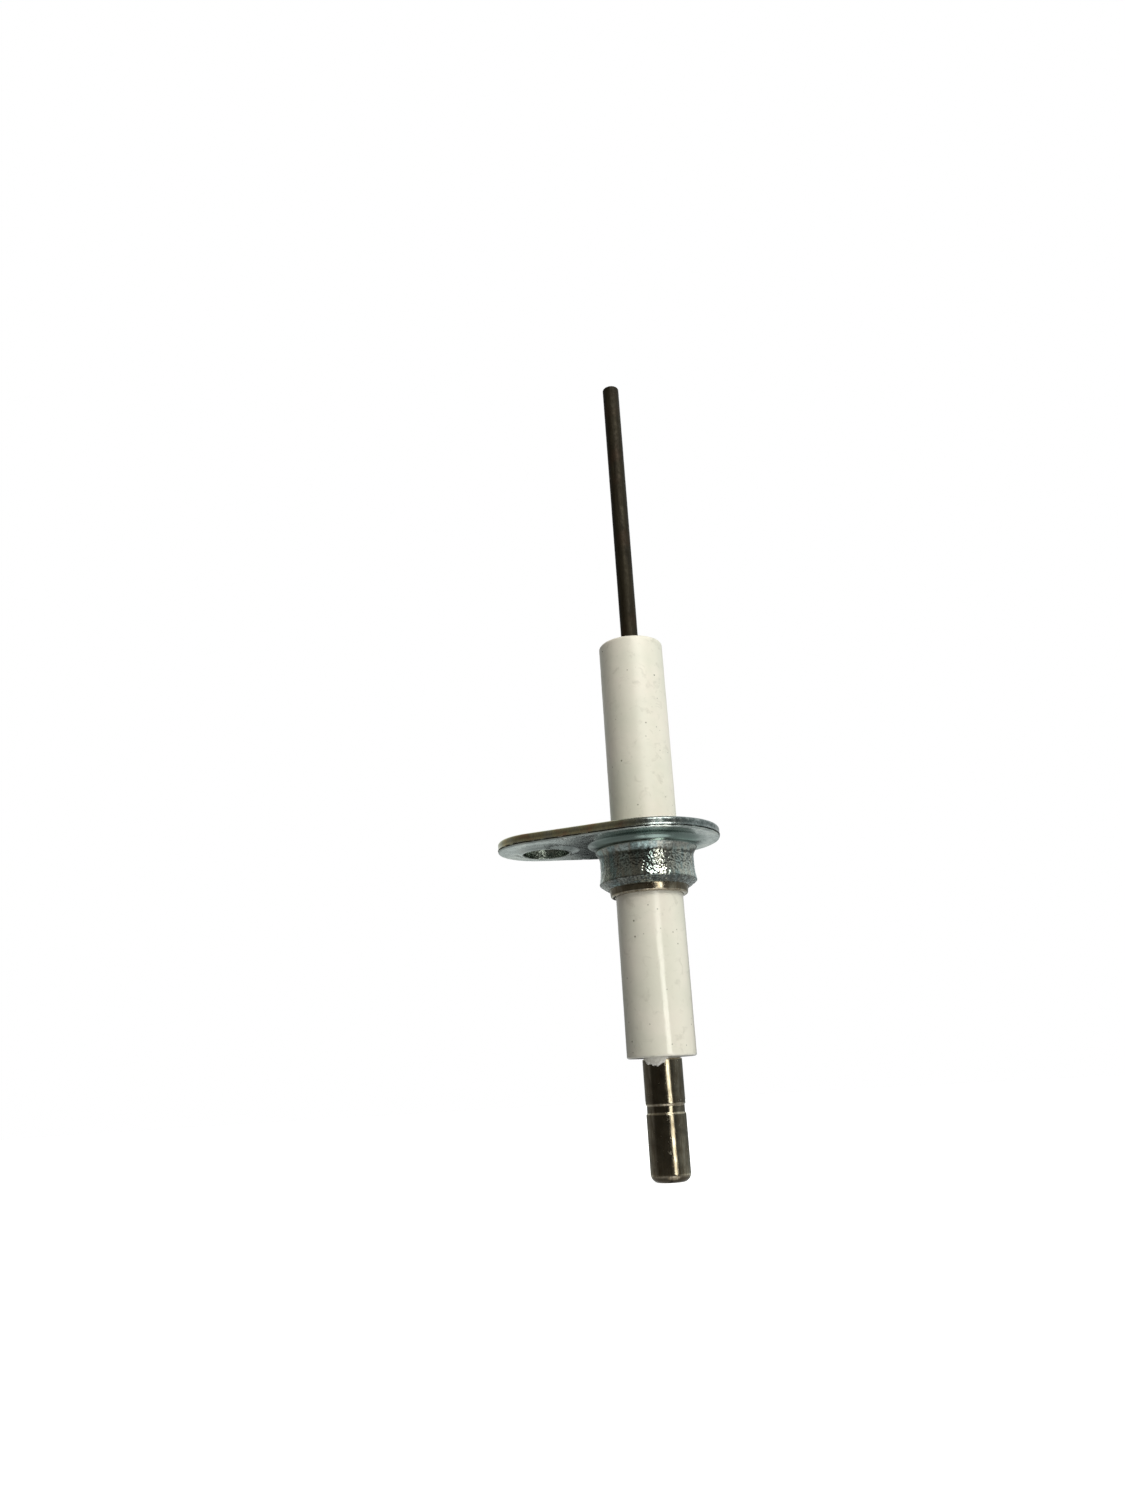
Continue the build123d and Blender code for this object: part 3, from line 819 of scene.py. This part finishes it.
def smear(build):
    """A thin patch of cement on the pin, whose edges sink under the pin's surface."""
    across, down = 90, 46
    first, last = math.radians(214), math.radians(292)
    length, root_r = 1.15, 1.9
    thickest, sunk, side_share = 0.13, -0.02, 0.03
    top, bottom = CERAMIC_BOTTOM, CERAMIC_BOTTOM - length
    outer, inner = [], []
    for j in range(down + 1):
        z = top + (bottom - top) * j / down
        for i in range(across + 1):
            a = first + (last - first) * i / across
            share = i / across
            reach = 0.95 * math.sin(math.pi * min(1, share * 1.05 + 0.02)) ** 0.45
            reach *= 0.86 + 0.34 * noise.noise(Vector((share * 5.5, 3.3, 0.0)))
            depth = (top - z) / (top - bottom) * length
            thick = thickest * smooth(0.0, 0.28, reach - depth)
            thick += 0.03 * ripple(share * 3, depth * 2, 0.0, 0.2, 3)
            if min(share, 1 - share) < side_share or reach < depth:
                thick = sunk
            r = TERMINAL_R + thick
            outer.append(build.add((r * math.cos(a), r * math.sin(a), z)))
            inner.append(build.add((root_r * math.cos(a), root_r * math.sin(a), z)))
    wide = across + 1
    for j in range(down):
        for i in range(across):
            k = j * wide + i
            build.faces.append((outer[k], outer[k + 1], outer[k + wide + 1], outer[k + wide]))
            build.faces.append((inner[k], inner[k + wide], inner[k + wide + 1], inner[k + 1]))
    border = list(range(wide)) + [(j + 1) * wide - 1 for j in range(1, down + 1)]
    border += [down * wide + i for i in range(across - 1, -1, -1)]
    border += [j * wide for j in range(down - 1, 0, -1)]
    for one, two in zip(border, border[1:] + border[:1]):
        build.faces.append((outer[one], inner[one], inner[two], outer[two]))


# ---------------------------------------------------------------- terminal

def terminal():
    """The push-on pin: round nose, shallow detent groove, shank in the ceramic."""
    nose, shoulder_edge, shank_edge, soft = 0.8, 0.06, 0.2, 0.01
    groove_r = TERMINAL_R - DETENT_DEPTH
    outline = [(0.0, TERMINAL_END)]
    outline += arc((TERMINAL_R - nose, TERMINAL_END + nose), nose, -90, 0, 0.05)
    outline += [
        (TERMINAL_R, DETENT_Z - 0.50),
        (TERMINAL_R - soft, DETENT_Z - 0.46),
        (groove_r + soft, DETENT_Z - 0.36),
        (groove_r, DETENT_Z - 0.32),
        (groove_r, DETENT_Z + 0.32),
        (groove_r + soft, DETENT_Z + 0.36),
        (TERMINAL_R - soft, DETENT_Z + 0.46),
        (TERMINAL_R, DETENT_Z + 0.50),
        (TERMINAL_R, SHOULDER_Z - shoulder_edge),
        (TERMINAL_R - shoulder_edge, SHOULDER_Z),
        (SHANK_R, SHOULDER_Z),
        (SHANK_R, SHANK_TOP - shank_edge),
        (SHANK_R - shank_edge, SHANK_TOP),
        (ROD_R, SHANK_TOP),
        (ROD_R, SHANK_TOP - ROD_IN_SHANK),
        (0.0, SHANK_TOP - ROD_IN_SHANK),
    ]

    def relief(r, z, a):
        if z > SHOULDER_Z or r < 0.3:
            return 0.0
        x, y = r * math.cos(a), r * math.sin(a)
        return 0.004 * ripple(x, y, z / 3, 0.8) + 0.0015 * ripple(x, y, z / 6, 0.25, 5)

    turned_piece("terminal_plug", "terminal_pin", TERMINAL,
                 refine(outline, 0.1), 180, relief, closed=False)


spark_rod()
insulator()
flange()
sleeve()
bedding()
rod_cement()
terminal_cement()
terminal()


# ---------------------------------------------------------------- camera

def camera():
    """Looks up at the flange from below, close to the part and a little to its right."""
    azimuth, elevation, roll = math.radians(7.6), math.radians(-16.8), math.radians(-3.25)
    aside, above, away = -8.795, 8.902, 119.505
    sensor, lens, near_clip = 36.0, 26.784, 0.005
    back = Vector((
        math.sin(azimuth) * math.cos(elevation),
        -math.cos(azimuth) * math.cos(elevation),
        math.sin(elevation),
    ))
    level = Vector((math.cos(azimuth), math.sin(azimuth), 0.0))
    right = level * math.cos(roll) + back.cross(level) * math.sin(roll)
    up = back.cross(right)
    place = right * aside * MM + up * above * MM + back * away * MM
    data = bpy.data.cameras.new("camera")
    data.sensor_fit = "VERTICAL"
    data.sensor_height, data.lens, data.clip_start = sensor, lens, near_clip
    obj = bpy.data.objects.new("camera", data)
    obj.matrix_world = Matrix.Translation(place) @ Matrix((right, up, back)).transposed().to_4x4()
    bpy.context.collection.objects.link(obj)
    bpy.context.scene.camera = obj


# ---------------------------------------------------------------- floor, light and air

def direction(bearing, elevation):
    """The unit vector at a bearing from +X and an elevation, both in degrees."""
    b, e = math.radians(bearing), math.radians(elevation)
    return Vector((math.cos(b) * math.cos(e), math.sin(b) * math.cos(e), math.sin(e)))


def area_light(name, bearing, elevation, width, height, radiance, colour, aim_z=0.0, roll=0.0,
               mirrored=True):
    """A soft box of even brightness, aimed at a height in mm on the part's axis."""
    distance = 0.5
    light = bpy.data.lights.new(name, "AREA")
    light.shape, light.size, light.size_y = "RECTANGLE", width, height
    light.energy, light.color = radiance * math.pi * width * height, colour
    obj = bpy.data.objects.new(name, light)
    away = direction(bearing, elevation)
    obj.location = Vector((0, 0, aim_z * MM)) + away * distance
    obj.visible_glossy = mirrored
    obj.rotation_mode = "QUATERNION"
    spin = Quaternion((0, 0, 1), math.radians(roll))
    obj.rotation_quaternion = away.to_track_quat("Z", "Y") @ spin
    bpy.context.collection.objects.link(obj)


def floor():
    """A pale round floor that the part stands on, kept out of the bright metal's reflections."""
    reach, count = 0.5, 96
    paint, glow, matt = (0.9, 0.9, 0.9), 0.9, 0.9
    turns = [2 * math.pi * i / count for i in range(count)]
    rim = [(reach * math.cos(a), reach * math.sin(a), TERMINAL_END * MM) for a in turns]
    mesh = bpy.data.meshes.new("floor")
    mesh.from_pydata(rim, [], [tuple(range(count))])
    obj = bpy.data.objects.new("floor", mesh)
    bpy.context.collection.objects.link(obj)
    pale = bpy.data.materials.new("pale_floor")
    pale.use_nodes = True
    shader = pale.node_tree.nodes["Principled BSDF"]
    shader.inputs["Base Color"].default_value = rgba(paint)
    shader.inputs["Roughness"].default_value = matt
    shader.inputs["Emission Color"].default_value = rgba(1.0)
    shader.inputs["Emission Strength"].default_value = glow
    mesh.materials.append(pale)
    obj.visible_glossy = obj.visible_diffuse = False


def air():
    """White where the camera sees it; as light, a dim studio with a few brighter places.

    Each ramp runs over the height of a direction, or over its agreement with one direction.
    """
    world = bpy.data.worlds.new("studio")
    bpy.context.scene.world = world
    world.use_nodes = True
    tree = world.node_tree
    tree.nodes.clear()
    ray = add_node(tree, "ShaderNodeTexCoord").outputs["Generated"]
    height = add_node(tree, "ShaderNodeSeparateXYZ", {0: ray}).outputs["Z"]

    def ramp(value, stops, low=-1, high=1):
        spread = {"Value": value, "From Min": low, "From Max": high}
        share = add_node(tree, "ShaderNodeMapRange", spread).outputs["Result"]
        return add_ramp(tree, share, [((at - low) / (high - low), colour) for at, colour in stops])

    def towards(bearing, elevation):
        inputs = {0: ray, 1: direction(bearing, elevation)}
        made = add_node(tree, "ShaderNodeVectorMath", inputs, operation="DOT_PRODUCT")
        return made.outputs["Value"]

    def combine(operation, *terms):
        inputs = dict(enumerate(terms))
        return add_node(tree, "ShaderNodeVectorMath", inputs, operation=operation).outputs[0]

    # Warm and dark in front, cooler and brighter to the right and behind.
    around = ramp(towards(60, 0), [
        (-1.0, (0.031, 0.025, 0.012)),
        (-0.45, (0.05, 0.043, 0.028)),
        (-0.15, (0.12, 0.115, 0.095)),
        (0.05, (0.23, 0.24, 0.22)),
        (0.5, (0.55, 0.58, 0.56)),
        (1.0, (0.50, 0.53, 0.52)),
    ])
    # How that is scaled at each height, and the grey that is added to it.
    scale = ramp(height, [
        (-0.45, 0.16), (-0.30, 0.5), (-0.20, 1.0), (-0.12, 0.8),
        (-0.07, 0.22), (0.04, 0.22), (0.30, 1.0),
    ])
    lift = ramp(height, [
        (-0.8, 0.26), (-0.6, 0.34), (-0.4, 0.34), (-0.27, 0.05),
        (-0.1, 0.04), (-0.03, 0.01), (0.04, 0.01), (0.22, 0.09),
    ])
    gain = (1.35, 1.35, 1.35)
    # A faint card on the left and a bright one low in front.
    left = ramp(towards(165, 2), [(0.80, 0.0), (0.95, 0.07)])
    below = ramp(towards(-62, -50), [(0.84, 0.0), (0.95, 1.3)])
    cards = combine("ADD", left, below)
    # A narrow upright black flag in front and one behind, below the horizon only.
    strip = [(-0.075, 1.0), (-0.05, 0.4), (-0.03, 0.0), (0.006, 0.0), (0.018, 1.0)]
    beside = ramp(towards(187, 0), strip, low=-0.1, high=0.1)
    above = ramp(height, [(-0.04, 0.0), (0.0, 1.0)])
    flag = combine("MAXIMUM", beside, above)

    shaded = combine("MULTIPLY_ADD", combine("MULTIPLY", around, scale), gain, lift)
    shaded = combine("MULTIPLY", combine("ADD", shaded, cards), flag)
    light = add_node(tree, "ShaderNodeBackground", {"Color": shaded}).outputs[0]
    seen = add_node(tree, "ShaderNodeBackground", {"Color": rgba(1.0)}).outputs[0]
    camera_ray = add_node(tree, "ShaderNodeLightPath").outputs["Is Camera Ray"]
    mix = add_node(tree, "ShaderNodeMixShader", {0: camera_ray, 1: light, 2: seen}).outputs[0]
    add_node(tree, "ShaderNodeOutputWorld", {0: mix})


def studio():
    """The floor, the air, a key, a strip for the bright metal's highlight and a low fill."""
    floor()
    air()
    area_light("key", bearing=-58, elevation=40, width=0.27, height=0.24,
               radiance=8.8, colour=(1.0, 0.985, 0.91))
    area_light("low_strip", bearing=-59.5, elevation=1.0, width=0.11, height=0.27,
               radiance=3.6, colour=(1.0, 0.99, 0.90), aim_z=-12.0, roll=40)
    area_light("low_fill", bearing=-52, elevation=-6, width=0.25, height=0.20,
               radiance=2.6, colour=(1.0, 0.99, 0.92), aim_z=-20.0, mirrored=False)
    bpy.context.scene.view_settings.view_transform = "Standard"


camera()
studio()
